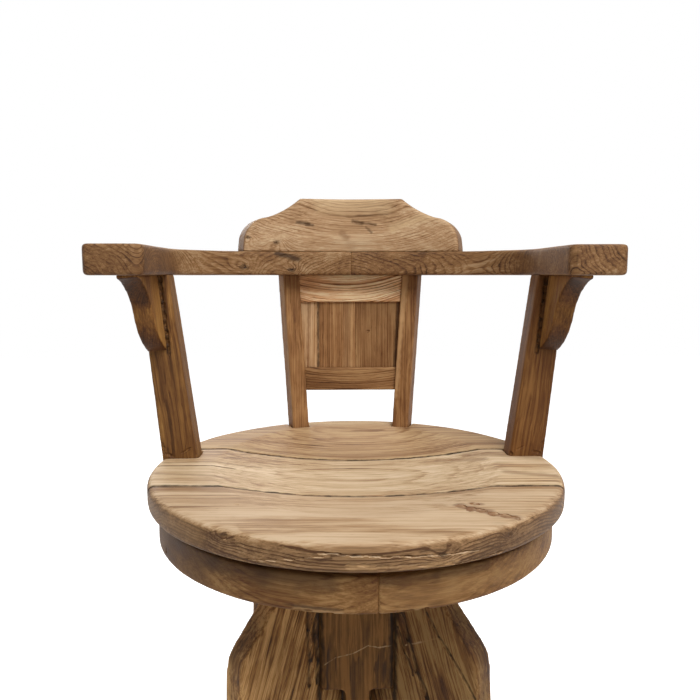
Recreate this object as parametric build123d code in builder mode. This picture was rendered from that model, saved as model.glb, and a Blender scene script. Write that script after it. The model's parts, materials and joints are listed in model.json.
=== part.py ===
from build123d import *
import math
import os

os.makedirs("parts", exist_ok=True)

# Swivel bar chair in solid teak. Millimetres, Z up from the floor, the turning axis is Z,
# and the sitter faces -Y. What has a left and a right is drawn on the right, at +X.

# Seat
seat_height = 757.0
seat_diameter = 500.0
seat_thickness = 28.0
seat_top_round = 8.0
seat_bottom_round = 3.0
plank_angle = -1.6
rear_joint_y = 70.0
front_joint_y = -86.5
scoop_width = 356.0
scoop_length = 400.0
scoop_depth = 17.0
scoop_centre_y = 15.0

# Arm posts: each foot stands in a shallow housing near the seat's edge, and its head is splayed out
post_housing = 8.0
post_arris = 2.0
arm_post_inset = 25.5
arm_post_y = 49.0
arm_post_width = 46.0
arm_post_depth = 35.0
arm_post_splay = 27.5
arm_post_top_width = 38.0

# Arm bow: two sawn halves with a curved back and straight arms
arm_height = 233.0
rail_thickness = 35.0
rail_arris = 4.0
bow_radius = 445.0
bow_front_y = 178.0
bow_depth = 70.0
bow_inner_shoulder_x = 165.0
bow_outer_shoulder_x = 175.0
arm_overhang = 49.5
arm_width = 65.5
arm_front_y = -82.0
arm_inner_corner = 12.0
arm_outer_corner = 6.0

# Corbel under each arm, planted on the front of its post
corbel_thickness = 25.0
corbel_height = 99.0
corbel_reach = 87.0
corbel_tip = 6.0
corbel_hollow_shares = (0.69, 0.20)
corbel_waist_shares = (0.506, 0.444)
corbel_belly_shares = (0.36, 0.77)

# Crest on the bow, its outline as shares of half its width and of its height
crest_thickness = 45.0
crest_setback = 3.0
crest_height = 78.0
crest_half_width = 170.5
crest_arris = 3.0
crest_flat_shares = (0.452, 1.0)
crest_hollow_shares = (0.6, 0.785)
crest_waist_shares = (0.757, 0.645)
crest_shoulder_shares = (0.918, 0.5)
crest_end_shares = (0.984, 0.28)

# Back posts, toed in towards the turning axis
back_post_inset = 19.0
back_post_angle = 20.5
back_post_toe = 19.0
back_post_width = 26.0
back_post_depth = 34.0
back_post_lean = 14.0

# Frame between the back posts, heights above the seat's rim
frame_setback = 5.0
frame_thickness = 22.0
panel_setback = 6.0
panel_thickness = 12.0
bottom_rail_low = 55.0
bottom_rail_high = 91.0
top_rail_low = 194.0
tongue_thickness = 6.0
tongue_depth = 6.0
panel_left_joint_x = -49.0
panel_right_joint_x = 6.5

# Drum under the seat
swivel_gap = 7.0
drum_setback = 11.0
drum_wall = 28.0
drum_height = 37.5
drum_arris = 2.0
drum_segments = 4
drum_joint_turn = 3.0
deck_thickness = 22.0
deck_joint_y = 82.0

# Hub under the drum, with a cross-shaped foot
hub_width = 136.0
hub_height = 187.0
hub_corner_margin = 4.0
pendant_drop = 88.0
pendant_straight = 42.0
pendant_end_half = 30.0
pendant_clearance = 2.7

# Slab legs on the diagonals, drops below the drum, radii from the turning axis
leg_thickness = 30.0
leg_arris = 2.5
leg_head = 11.0
knee_radius = 193.0
knee_drop = 104.0
knee_round = 35.0
shin_radius = 197.0
shin_drop = 169.0
nose_round = 20.0
nose_height = 40.0
calf_radius = 115.0
calf_drop = 274.0
nose_belly_radius = 64.0
nose_belly_drop = 258.0
foot_radius = 305.0
foot_length = 68.0
foot_toe_height = 30.0
leg_inner_sag = 11.0
glide_radius = 12.0
glide_height = 4.0

# Foot rails
foot_rail_top = 330.0
foot_rail_height = 40.0
foot_rail_thickness = 28.0
foot_rail_offset = 126.0
foot_rail_arris = 5.0

# Steel ball swivel between the deck and the seat
plate_width = 150.0
plate_thickness = 3.0
plate_corner = 10.0
race_radius = 55.0
race_width = 16.0
race_height = 5.75
ball_radius = 5.0
ball_count = 12
ball_clearance = 0.3
cage_width = 13.0
cage_thickness = 3.0
stud_radius = 8.0
stud_fit = 0.05
stud_hole_clearance = 1.5
stud_flange_radius = 14.0
stud_flange_height = 3.0
washer_radius = 17.0
washer_thickness = 2.5
washer_play = 0.3
nut_radius = 13.5
nut_height = 12.0
nut_fit = 0.1
stud_end = 4.0
pocket_radius = 26.0
pocket_spare = 6.0

# Battens under the seat planks
batten_x = 112.0
batten_width = 36.0
batten_thickness = 14.0
batten_play = 9.0
batten_arris = 2.0

# Wood screws, all countersunk
screw_radius = 2.5
screw_head_radius = 5.0
screw_head_height = 2.5
screw_fit = 0.05
upper_plate_screw_length = 13.0
lower_plate_screw_length = 18.0
plate_screw_pitch = 112.0
batten_screw_length = 22.0
batten_screw_end = 35.0
batten_screw_shift = -8.0
deck_screw_length = 55.0
deck_screw_pitch = 88.0

# Dowels
peg_fit = 0.1
small_peg = 4.0
middle_peg = 5.0
large_peg = 6.0
seat_peg_length = 50.0
seat_peg_inner_x = 140.0
seat_peg_edge = 45.0
seat_peg_height = 8.0
foot_peg_length = 46.0
foot_peg_in_seat = 13.0
head_peg_length = 40.0
head_peg_in_rail = 27.0
corbel_peg_length = 40.0
corbel_peg_down = 24.0
corbel_peg_spacing = 42.0
bow_peg_length = 60.0
bow_peg_spacing = 34.0
crest_peg_length = 54.0
crest_peg_x = 110.0
frame_peg_length = 30.0
drum_peg_length = 40.0
deck_peg_x = 120.0
leg_peg_length = 64.0
leg_peg_drop = 48.0
leg_peg_spacing = 92.0
foot_rail_peg_length = 56.0
foot_rail_peg_shift = 9.0

# Extra length of a cutting shape past what it cuts
overrun = 60.0

# Sizes that follow from those above
sides = (1, -1)
quarter = 90
leg_angle = 45
seat_radius = seat_diameter / 2
seat_under = seat_height - seat_thickness
arm_post_x = seat_radius - arm_post_inset
arm_post_top_x = arm_post_x + arm_post_splay
arm_outer_x = seat_radius + arm_overhang
arm_inner_x = arm_outer_x - arm_width
back_post_radius = seat_radius - back_post_inset
rail_bottom = seat_height + arm_height
rail_top = rail_bottom + rail_thickness
bow_centre_y = bow_front_y - bow_radius
drum_top = seat_under - swivel_gap
drum_bottom = drum_top - drum_height
drum_radius = seat_radius - drum_setback
drum_inner_radius = drum_radius - drum_wall
batten_reach = drum_inner_radius - batten_play
batten_length = 2 * math.sqrt(batten_reach**2 - (batten_x + batten_width / 2) ** 2)
batten_screw_pitch = batten_length / 2 - batten_screw_end
deck_top = drum_bottom + deck_thickness
ball_height = (deck_top + seat_under) / 2
hub_bottom = drum_bottom - hub_height
hub_corner_face = leg_thickness + 2 * hub_corner_margin
hub_corner_radius = hub_width / math.sqrt(2) - hub_corner_face / 2
pocket_depth = washer_play + washer_thickness + nut_height + stud_end + pocket_spare
nose_radius = leg_thickness / 2 * (1 + math.sqrt(2)) + pendant_clearance * math.sqrt(2)
foot_rail_middle = foot_rail_top - foot_rail_height / 2


def finish(piece, node):
    """Label a finished piece and write it under its node's name."""
    piece.part.label = node
    export_step(piece.part, f"parts/{node}.step")


def rods(radius, length, places):
    """Round rods, each centred on a plane's origin and square to that plane."""
    with BuildPart() as group:
        for place in places:
            with BuildSketch(place.offset(-length / 2)):
                Circle(radius)
            extrude(amount=length)
    return group


def pegs(radius, length, places):
    """Dowels, and the slightly larger holes that take them."""
    dowels = rods(radius, length, places)
    holes = rods(radius + peg_fit, length + 2 * peg_fit, places)
    return dowels, holes


def countersunk(length, places, fit):
    """Countersunk rods with their heads flush at the planes and their points along the normals."""
    with BuildPart() as group:
        for place in places:
            with BuildSketch(place):
                Circle(screw_head_radius + fit)
            with BuildSketch(place.offset(screw_head_height)):
                Circle(screw_radius + fit)
            loft(ruled=True)
            with BuildSketch(place.offset(screw_head_height)):
                Circle(screw_radius + fit)
            extrude(amount=length - screw_head_height + fit)
    return group


def screws(length, places):
    """Screws, and the holes that take them."""
    return countersunk(length, places, 0), countersunk(length, places, screw_fit)


def square_places(pitch, height, direction):
    """Planes at the corners of a square about the turning axis, facing up or down."""
    half = pitch / 2
    return [
        Plane((sx * half, sy * half, height), z_dir=(0, 0, direction))
        for sx in sides
        for sy in sides
    ]


def turn(x, y, angle):
    """A point in plan, turned about the turning axis by an angle in degrees."""
    a = math.radians(angle)
    return x * math.cos(a) - y * math.sin(a), x * math.sin(a) + y * math.cos(a)


def turned_plane(x, y, z, direction, angle):
    """A plane at a point, facing a level direction, both turned about the turning axis."""
    return Plane((*turn(x, y, angle), z), z_dir=(*turn(*direction, angle), 0))


def on_bow(radius, angle):
    """A point of the bow's plan, at an angle in radians from straight back."""
    return radius * math.sin(angle), bow_centre_y + radius * math.cos(angle)


# Posts

long_edges = lambda edge: edge.length > arm_height / 2

with BuildPart() as arm_post:
    with BuildSketch(Plane((arm_post_x, arm_post_y, seat_height - post_housing))):
        Rectangle(arm_post_width, arm_post_depth)
    with BuildSketch(Plane((arm_post_top_x, arm_post_y, rail_bottom))):
        Rectangle(arm_post_top_width, arm_post_depth)
    loft(ruled=True)
    fillet(arm_post.edges().filter_by(long_edges), post_arris)

toe = math.radians(back_post_toe)
back_angle = math.radians(back_post_angle)
toe_inward = Vector(math.sin(toe), math.cos(toe), 0)
toe_across = Vector(math.cos(toe), -math.sin(toe), 0)
back_foot = Vector(
    back_post_radius * math.sin(back_angle),
    back_post_radius * math.cos(back_angle),
    seat_height - post_housing,
)
back_head = Vector(back_foot.X + back_post_lean, back_foot.Y, rail_bottom)

with BuildPart() as back_post:
    for centre in (back_foot, back_head):
        with BuildSketch(Plane(centre, x_dir=toe_across, z_dir=(0, 0, 1))):
            Rectangle(back_post_width, back_post_depth)
    loft(ruled=True)
    fillet(back_post.edges().filter_by(long_edges), post_arris)

# The back post's inner face, where the back frame ends
inner_point = back_foot - toe_across * (back_post_width / 2)
inner_corner = inner_point - toe_inward * (back_post_depth / 2)
inner_normal = toe_inward.cross((back_head - back_foot).normalized())
inner_faces = [
    Plane(
        (s * inner_point.X, inner_point.Y, inner_point.Z),
        x_dir=(s * toe_inward.X, toe_inward.Y, 0),
        z_dir=(s * inner_normal.X, inner_normal.Y, inner_normal.Z),
    )
    for s in sides
]

# Dowels of the turning part

foot_peg_z = seat_height - post_housing - foot_peg_in_seat + foot_peg_length / 2
foot_places = [
    Plane((s * x, y, foot_peg_z))
    for s in sides
    for x, y in ((arm_post_x, arm_post_y), (back_foot.X, back_foot.Y))
]
foot_pegs, foot_peg_holes = pegs(large_peg, foot_peg_length, foot_places)

head_peg_z = rail_bottom + head_peg_in_rail - head_peg_length / 2
head_places = [
    Plane((s * x, y, head_peg_z))
    for s in sides
    for x, y in ((arm_post_top_x, arm_post_y), (back_head.X, back_head.Y))
]
head_pegs, head_peg_holes = pegs(large_peg, head_peg_length, head_places)

seat_places = [
    turned_plane(s * x, y, seat_under + seat_peg_height, (0, 1), plank_angle)
    for s in sides
    for x in (seat_peg_inner_x, seat_radius - seat_peg_edge)
    for y in (rear_joint_y, front_joint_y)
]
seat_pegs, seat_peg_holes = pegs(small_peg, seat_peg_length, seat_places)

bow_places = [
    Plane(
        (0, bow_front_y + bow_depth / 2 + s * bow_peg_spacing / 2, rail_bottom + rail_thickness / 2),
        z_dir=(1, 0, 0),
    )
    for s in sides
]
bow_pegs, bow_peg_holes = pegs(middle_peg, bow_peg_length, bow_places)

crest_peg_radius = bow_radius + crest_setback + crest_thickness / 2
crest_peg_angle = math.asin(crest_peg_x / crest_peg_radius)
crest_places = [Plane((*on_bow(crest_peg_radius, s * crest_peg_angle), rail_top)) for s in sides]
crest_pegs, crest_peg_holes = pegs(large_peg, crest_peg_length, crest_places)

frame_front_y = inner_corner.Y + frame_setback
frame_middle_y = frame_front_y + frame_thickness / 2


def inner_face_x(y, z):
    """Where the right back post's inner face lies at a depth and a height."""
    lean = inner_normal.Y * (y - inner_point.Y) + inner_normal.Z * (z - inner_point.Z)
    return inner_point.X - lean / inner_normal.X


frame_levels = (
    seat_height + (bottom_rail_low + bottom_rail_high) / 2,
    (seat_height + top_rail_low + rail_bottom) / 2,
)
frame_places = [
    Plane((s * inner_face_x(frame_middle_y, z), frame_middle_y, z), z_dir=(1, 0, 0))
    for s in sides
    for z in frame_levels
]
frame_pegs, frame_peg_holes = pegs(small_peg, frame_peg_length, frame_places)

arm_post_front_y = arm_post_y - arm_post_depth / 2
corbel_places = [
    Plane(
        (
            s * (arm_post_top_x + arm_post_top_width / 2 - corbel_thickness / 2 - small_peg / 2),
            arm_post_front_y,
            rail_bottom - corbel_peg_down - step * corbel_peg_spacing,
        ),
        z_dir=(0, 1, 0),
    )
    for s in sides
    for step in range(2)
]
corbel_pegs, corbel_peg_holes = pegs(small_peg, corbel_peg_length, corbel_places)

# Screws of the turning part

plate_under = seat_under - plate_thickness
upper_screws, upper_screw_holes = screws(
    upper_plate_screw_length, square_places(plate_screw_pitch, plate_under, 1)
)
batten_under = seat_under - batten_thickness
batten_places = [
    Plane((s * batten_x, batten_screw_shift + step * batten_screw_pitch, batten_under))
    for s in sides
    for step in (-1, 0, 1)
]
batten_screws, batten_screw_holes = screws(batten_screw_length, batten_places)

# Seat: one dished disc of three planks, whose joints run a little askew

across_radius = ((scoop_width / 2) ** 2 + scoop_depth**2) / (2 * scoop_depth)
along_radius = ((scoop_length / 2) ** 2 + scoop_depth**2) / (2 * scoop_depth)
scoop_floor = seat_height - scoop_depth
scoop_turn = math.degrees(math.asin((seat_radius + scoop_centre_y) / along_radius))

with BuildPart() as scoop:
    with BuildSketch(Plane.XZ.offset(-scoop_centre_y)) as scoop_section:
        with BuildLine():
            ThreePointArc((-scoop_width / 2, seat_height), (0, scoop_floor), (scoop_width / 2, seat_height))
            Polyline(
                (scoop_width / 2, seat_height),
                (scoop_width / 2, seat_height + overrun),
                (-scoop_width / 2, seat_height + overrun),
                (-scoop_width / 2, seat_height),
            )
        make_face()
    revolve(
        axis=Axis((0, scoop_centre_y, scoop_floor + along_radius), (1, 0, 0)),
        revolution_arc=scoop_turn,
    )
    mirror(about=Plane.XZ.offset(-scoop_centre_y))

with BuildPart() as seat_disc:
    with BuildSketch(Plane.XY.offset(seat_under)):
        Circle(seat_radius)
    extrude(amount=seat_thickness)
    fillet(seat_disc.faces().sort_by(Axis.Z)[-1].edges(), seat_top_round)
    fillet(seat_disc.faces().sort_by(Axis.Z)[0].edges(), seat_bottom_round)
    add(scoop.part, mode=Mode.SUBTRACT)
    for post in (arm_post, back_post):
        add(post.part, mode=Mode.SUBTRACT)
        add(mirror(post.part, about=Plane.YZ, mode=Mode.PRIVATE), mode=Mode.SUBTRACT)
    for holes in (foot_peg_holes, seat_peg_holes, upper_screw_holes, batten_screw_holes):
        add(holes.part, mode=Mode.SUBTRACT)

plank_ends = {
    "seat_plank_front": (-seat_diameter, front_joint_y),
    "seat_plank_middle": (front_joint_y, rear_joint_y),
    "seat_plank_rear": (rear_joint_y, seat_diameter),
}
for node, (low_y, high_y) in plank_ends.items():
    with BuildPart() as plank:
        add(seat_disc.part)
        split(bisect_by=turned_plane(0, low_y, 0, (0, 1), plank_angle), keep=Keep.TOP)
        split(bisect_by=turned_plane(0, high_y, 0, (0, 1), plank_angle), keep=Keep.BOTTOM)
    finish(plank, node)

with BuildPart() as batten:
    with BuildSketch(Plane((batten_x, 0, batten_under))):
        Rectangle(batten_width, batten_length)
    extrude(amount=batten_thickness)
    chamfer(batten.faces().sort_by(Axis.Z)[0].edges(), batten_arris)
    add(batten_screw_holes.part, mode=Mode.SUBTRACT)
finish(batten, "seat_batten_right")

with BuildPart() as batten_left:
    mirror(batten.part, about=Plane.YZ)
finish(batten_left, "seat_batten_left")

finish(seat_pegs, "seat_plank_dowels")
finish(foot_pegs, "post_foot_dowels")
finish(head_pegs, "post_head_dowels")
finish(bow_pegs, "bow_joint_dowels")
finish(crest_pegs, "crest_dowels")
finish(frame_pegs, "back_frame_dowels")
finish(corbel_pegs, "corbel_dowels")
finish(upper_screws, "upper_plate_screws")
finish(batten_screws, "batten_screws")

# Arm bow

inner_turn = math.asin(bow_inner_shoulder_x / bow_radius)
outer_radius = bow_radius + bow_depth
outer_turn = math.asin(bow_outer_shoulder_x / outer_radius)


def shoulder(radius, angle, side_x):
    """Where an arc that leaves the bow tangent to it runs straight forwards, at a side's X."""
    start_x, start_y = on_bow(radius, angle)
    return side_x, start_y - (side_x - start_x) * math.tan((math.pi / 2 + angle) / 2)


inner_shoulder = shoulder(bow_radius, inner_turn, arm_inner_x)
outer_shoulder = shoulder(outer_radius, outer_turn, arm_outer_x)

with BuildPart() as arm_rail:
    with BuildSketch(Plane.XY.offset(rail_bottom)) as arm_plan:
        with BuildLine():
            ThreePointArc(on_bow(bow_radius, 0), on_bow(bow_radius, inner_turn / 2), on_bow(bow_radius, inner_turn))
            TangentArc(
                on_bow(bow_radius, inner_turn),
                inner_shoulder,
                tangent=(math.cos(inner_turn), -math.sin(inner_turn)),
            )
            Polyline(
                inner_shoulder,
                (arm_inner_x, arm_front_y),
                (arm_outer_x, arm_front_y),
                outer_shoulder,
            )
            TangentArc(
                on_bow(outer_radius, outer_turn),
                outer_shoulder,
                tangent=(math.cos(outer_turn), -math.sin(outer_turn)),
            )
            ThreePointArc(
                on_bow(outer_radius, 0), on_bow(outer_radius, outer_turn / 2), on_bow(outer_radius, outer_turn)
            )
            Line(on_bow(bow_radius, 0), on_bow(outer_radius, 0))
        make_face()
        hand_corners = arm_plan.vertices().group_by(Axis.Y)[0].sort_by(Axis.X)
        fillet(hand_corners[0], arm_inner_corner)
        fillet(arm_plan.vertices().group_by(Axis.Y)[0].sort_by(Axis.X)[-1], arm_outer_corner)
    extrude(amount=rail_thickness)
    rims = arm_rail.faces().filter_by(Axis.Z).edges()
    fillet([edge for edge in rims if edge.center().X > rail_arris], rail_arris)
    for holes in (head_peg_holes, bow_peg_holes, crest_peg_holes):
        add(holes.part, mode=Mode.SUBTRACT)
finish(arm_rail, "arm_rail_right")

with BuildPart() as arm_rail_left:
    mirror(arm_rail.part, about=Plane.YZ)
finish(arm_rail_left, "arm_rail_left")

# Arm posts and back posts, bored for their dowels

for post, holes, node in (
    (arm_post, (foot_peg_holes, head_peg_holes, corbel_peg_holes), "arm_post"),
    (back_post, (foot_peg_holes, head_peg_holes, frame_peg_holes), "back_post"),
):
    with BuildPart() as bored:
        add(post.part)
        for hole in holes:
            add(hole.part, mode=Mode.SUBTRACT)
    finish(bored, f"{node}_right")
    with BuildPart() as bored_left:
        mirror(bored.part, about=Plane.YZ)
    finish(bored_left, f"{node}_left")

# Corbels: an ogee plank whose outer face continues the arm post's outer face

post_outer_foot_x = arm_post_x + arm_post_width / 2
post_outer_top_x = arm_post_top_x + arm_post_top_width / 2
post_rise = rail_bottom - (seat_height - post_housing)
corbel_up = Vector(post_outer_top_x - post_outer_foot_x, 0, post_rise).normalized()
corbel_face = Plane(
    (post_outer_top_x, arm_post_front_y, rail_bottom),
    x_dir=(0, -1, 0),
    z_dir=Vector(0, -1, 0).cross(corbel_up),
)


def corbel_point(shares):
    """A point of the corbel's front edge, from shares of its reach and height."""
    return shares[0] * corbel_reach, -shares[1] * corbel_height


with BuildPart() as corbel:
    with BuildSketch(corbel_face):
        with BuildLine():
            Polyline(
                (0, -corbel_height),
                (0, corbel_tip),
                (corbel_reach, corbel_tip),
                (corbel_reach, -corbel_tip),
            )
            ThreePointArc(
                (corbel_reach, -corbel_tip), corbel_point(corbel_hollow_shares), corbel_point(corbel_waist_shares)
            )
            ThreePointArc(corbel_point(corbel_waist_shares), corbel_point(corbel_belly_shares), (0, -corbel_height))
        make_face()
    extrude(amount=corbel_thickness)
    split(bisect_by=Plane.XY.offset(rail_bottom), keep=Keep.BOTTOM)
    add(corbel_peg_holes.part, mode=Mode.SUBTRACT)
finish(corbel, "arm_corbel_right")

with BuildPart() as corbel_left:
    mirror(corbel.part, about=Plane.YZ)
finish(corbel_left, "arm_corbel_left")

# Crest: an ogee outline that widens towards the back, cut to the bow's curve

crest_front_radius = bow_radius + crest_setback
crest_back_radius = crest_front_radius + crest_thickness
crest_back_depth = math.sqrt(crest_back_radius**2 - crest_half_width**2)


def crest_outline(depth):
    """The crest's outline at a depth behind the bow's centre, scaled from its back corners."""
    width = crest_half_width * depth / crest_back_depth

    def point(shares, side):
        return side * shares[0] * width, rail_top + shares[1] * crest_height

    with BuildSketch(Plane.XZ.offset(-bow_centre_y - depth)) as outline:
        with BuildLine():
            Line(point(crest_flat_shares, -1), point(crest_flat_shares, 1))
            for side in sides:
                ThreePointArc(
                    point(crest_flat_shares, side), point(crest_hollow_shares, side), point(crest_waist_shares, side)
                )
                ThreePointArc(
                    point(crest_waist_shares, side), point(crest_shoulder_shares, side), point(crest_end_shares, side)
                )
                Line(point(crest_end_shares, side), (side * width, rail_top))
            Line((-width, rail_top), (width, rail_top))
        make_face()
    return outline.sketch


with BuildPart() as crest:
    add(crest_outline(crest_front_radius * crest_back_depth / crest_back_radius))
    add(crest_outline(crest_back_radius))
    loft(ruled=True)
    with BuildSketch(Plane((0, bow_centre_y, rail_top))):
        Circle(crest_back_radius)
        Circle(crest_front_radius, mode=Mode.SUBTRACT)
    extrude(amount=crest_height, mode=Mode.INTERSECT)
    broad_rims = crest.faces().filter_by(GeomType.CYLINDER).sort_by(SortBy.AREA)[-2:].edges()
    chamfer([edge for edge in broad_rims if edge.center().Z > rail_top + crest_arris], crest_arris)
    add(crest_peg_holes.part, mode=Mode.SUBTRACT)
finish(crest, "crest")

# Back frame


def between_posts(low, high, front_y, thickness, left_x=-overrun * 2, right_x=overrun * 2):
    """A board between the back posts, over a range of heights and of depths."""
    with BuildPart() as board:
        with BuildSketch(Plane.XY.offset(low)):
            with Locations(((left_x + right_x) / 2, front_y + thickness / 2)):
                Rectangle(right_x - left_x, thickness)
        extrude(amount=high - low)
        for face in inner_faces:
            split(bisect_by=face, keep=Keep.BOTTOM)
    return board


panel_low = seat_height + bottom_rail_high
panel_high = seat_height + top_rail_low
panel_front_y = frame_front_y + panel_setback
tongue_front_y = panel_front_y + (panel_thickness - tongue_thickness) / 2
grooves = between_posts(panel_low - tongue_depth, panel_high + tongue_depth, tongue_front_y, tongue_thickness)

for node, low, high in (
    ("back_bottom_rail", seat_height + bottom_rail_low, panel_low),
    ("back_top_rail", panel_high, rail_bottom),
):
    rail = between_posts(low, high, frame_front_y, frame_thickness)
    with rail:
        add(grooves.part, mode=Mode.SUBTRACT)
        add(frame_peg_holes.part, mode=Mode.SUBTRACT)
    finish(rail, node)

for node, left_x, right_x in (
    ("back_panel_left", -overrun * 2, panel_left_joint_x),
    ("back_panel_middle", panel_left_joint_x, panel_right_joint_x),
    ("back_panel_right", panel_right_joint_x, overrun * 2),
):
    board = between_posts(panel_low, panel_high, panel_front_y, panel_thickness, left_x, right_x)
    tongue = between_posts(
        panel_low - tongue_depth, panel_high + tongue_depth, tongue_front_y, tongue_thickness, left_x, right_x
    )
    with board:
        add(tongue.part)
    finish(board, node)

# Swivel: two plates with ball races, a caged ring of balls, and a stud that keeps them together

washer_top = drum_bottom - washer_play
nut_top = washer_top - washer_thickness
stud_tip = nut_top - nut_height - stud_end

with BuildPart() as ball_track:
    with BuildSketch(Plane.XZ):
        with Locations((race_radius, ball_height)):
            Circle(ball_radius + ball_clearance)
    revolve(axis=Axis.Z)

lower_screws, lower_screw_holes = screws(
    lower_plate_screw_length, square_places(plate_screw_pitch, deck_top + plate_thickness, -1)
)


def swivel_plate(base, direction, bore, screw_holes):
    """A square plate with a raised race on one side and a bore for the stud."""
    with BuildPart() as plate:
        with BuildSketch(Plane((0, 0, base), z_dir=(0, 0, direction))):
            RectangleRounded(plate_width, plate_width, plate_corner)
        extrude(amount=plate_thickness)
        with BuildSketch(Plane((0, 0, base + direction * plate_thickness), z_dir=(0, 0, direction))):
            Circle(race_radius + race_width / 2)
            Circle(race_radius - race_width / 2, mode=Mode.SUBTRACT)
        extrude(amount=race_height)
        add(ball_track.part, mode=Mode.SUBTRACT)
        add(screw_holes.part, mode=Mode.SUBTRACT)
        if bore:
            with BuildSketch(Plane((0, 0, base), z_dir=(0, 0, direction))):
                Circle(bore)
            extrude(amount=plate_thickness, mode=Mode.SUBTRACT)
    return plate


finish(swivel_plate(seat_under, -1, 0, upper_screw_holes), "swivel_upper_plate")
finish(swivel_plate(deck_top, 1, stud_radius + stud_fit, lower_screw_holes), "swivel_lower_plate")
finish(lower_screws, "lower_plate_screws")

ball_turns = [step * 360 / ball_count for step in range(ball_count)]
ball_places = [(*turn(race_radius, 0, angle), ball_height) for angle in ball_turns]

with BuildPart() as balls:
    with Locations(*ball_places):
        Sphere(ball_radius)
finish(balls, "swivel_balls")

with BuildPart() as cage:
    with BuildSketch(Plane.XY.offset(ball_height - cage_thickness / 2)):
        Circle(race_radius + cage_width / 2)
        Circle(race_radius - cage_width / 2, mode=Mode.SUBTRACT)
        with PolarLocations(race_radius, ball_count):
            Circle(ball_radius + ball_clearance, mode=Mode.SUBTRACT)
    extrude(amount=cage_thickness)
finish(cage, "ball_cage")

with BuildPart() as stud:
    with BuildSketch(Plane.XY.offset(plate_under - stud_flange_height)):
        Circle(stud_flange_radius)
    extrude(amount=stud_flange_height)
    with BuildSketch(Plane.XY.offset(stud_tip)):
        Circle(stud_radius)
    extrude(amount=plate_under - stud_flange_height - stud_tip)
finish(stud, "swivel_stud")

with BuildPart() as washer:
    with BuildSketch(Plane.XY.offset(nut_top)):
        Circle(washer_radius)
        Circle(stud_radius + nut_fit, mode=Mode.SUBTRACT)
    extrude(amount=washer_thickness)
finish(washer, "swivel_washer")

with BuildPart() as nut:
    with BuildSketch(Plane.XY.offset(nut_top - nut_height)):
        RegularPolygon(nut_radius, 6)
        Circle(stud_radius + nut_fit, mode=Mode.SUBTRACT)
    extrude(amount=nut_height)
finish(nut, "swivel_nut")

# Drum: a ring of sawn segments round three deck boards


def axis_plane(angle):
    """A plane through the turning axis, facing anticlockwise, at an angle in degrees."""
    return Plane((0, 0, 0), z_dir=(*turn(0, 1, angle), 0))


joint_turns = [drum_joint_turn - quarter + step * 360 / drum_segments for step in range(drum_segments)]
ring_middle = drum_radius - drum_wall / 2
drum_middle = (drum_top + drum_bottom) / 2
drum_places = [turned_plane(ring_middle, 0, drum_middle, (0, 1), angle) for angle in joint_turns]
drum_pegs, drum_peg_holes = pegs(small_peg, drum_peg_length, drum_places)

deck_places = [
    Plane((sx * deck_peg_x, sy * deck_joint_y, drum_bottom + deck_thickness / 2), z_dir=(0, 1, 0))
    for sx in sides
    for sy in sides
]
deck_pegs, deck_peg_holes = pegs(small_peg, drum_peg_length, deck_places)
deck_screws, deck_screw_holes = screws(deck_screw_length, square_places(deck_screw_pitch, deck_top, -1))

with BuildPart() as ring:
    with BuildSketch(Plane.XY.offset(drum_bottom)):
        Circle(drum_radius)
    extrude(amount=drum_height)
    fillet(ring.edges(), drum_arris)
    with BuildSketch(Plane.XY.offset(drum_bottom)):
        Circle(drum_inner_radius)
    extrude(amount=drum_height, mode=Mode.SUBTRACT)
    add(drum_peg_holes.part, mode=Mode.SUBTRACT)

for step, angle in enumerate(joint_turns):
    with BuildPart() as segment:
        add(ring.part)
        split(bisect_by=axis_plane(angle), keep=Keep.TOP)
        split(bisect_by=axis_plane(angle + 360 / drum_segments), keep=Keep.BOTTOM)
    finish(segment, f"drum_segment_{step + 1}")
finish(drum_pegs, "drum_dowels")

with BuildPart() as deck:
    with BuildSketch(Plane.XY.offset(drum_bottom)):
        Circle(drum_inner_radius)
        Circle(stud_radius + stud_hole_clearance, mode=Mode.SUBTRACT)
    extrude(amount=deck_thickness)
    for holes in (deck_peg_holes, deck_screw_holes, lower_screw_holes):
        add(holes.part, mode=Mode.SUBTRACT)

for node, low_y, high_y in (
    ("deck_board_front", -seat_radius, -deck_joint_y),
    ("deck_board_middle", -deck_joint_y, deck_joint_y),
    ("deck_board_rear", deck_joint_y, seat_radius),
):
    with BuildPart() as board:
        add(deck.part)
        split(bisect_by=Plane.XZ.offset(-low_y), keep=Keep.BOTTOM)
        split(bisect_by=Plane.XZ.offset(-high_y), keep=Keep.TOP)
    finish(board, node)
finish(deck_pegs, "deck_dowels")
finish(deck_screws, "deck_screws")

# Hub: a square block with cut corners for the legs and a cross-shaped foot

leg_peg_drops = (leg_peg_drop, leg_peg_drop + leg_peg_spacing)
leg_turns = [leg_angle + step * quarter for step in range(4)]
leg_places = [
    turned_plane(hub_corner_radius, 0, drum_bottom - drop, (1, 0), angle)
    for angle in leg_turns
    for drop in leg_peg_drops
]
leg_pegs, leg_peg_holes = pegs(large_peg, leg_peg_length, leg_places)

hub_half = hub_width / 2

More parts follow.
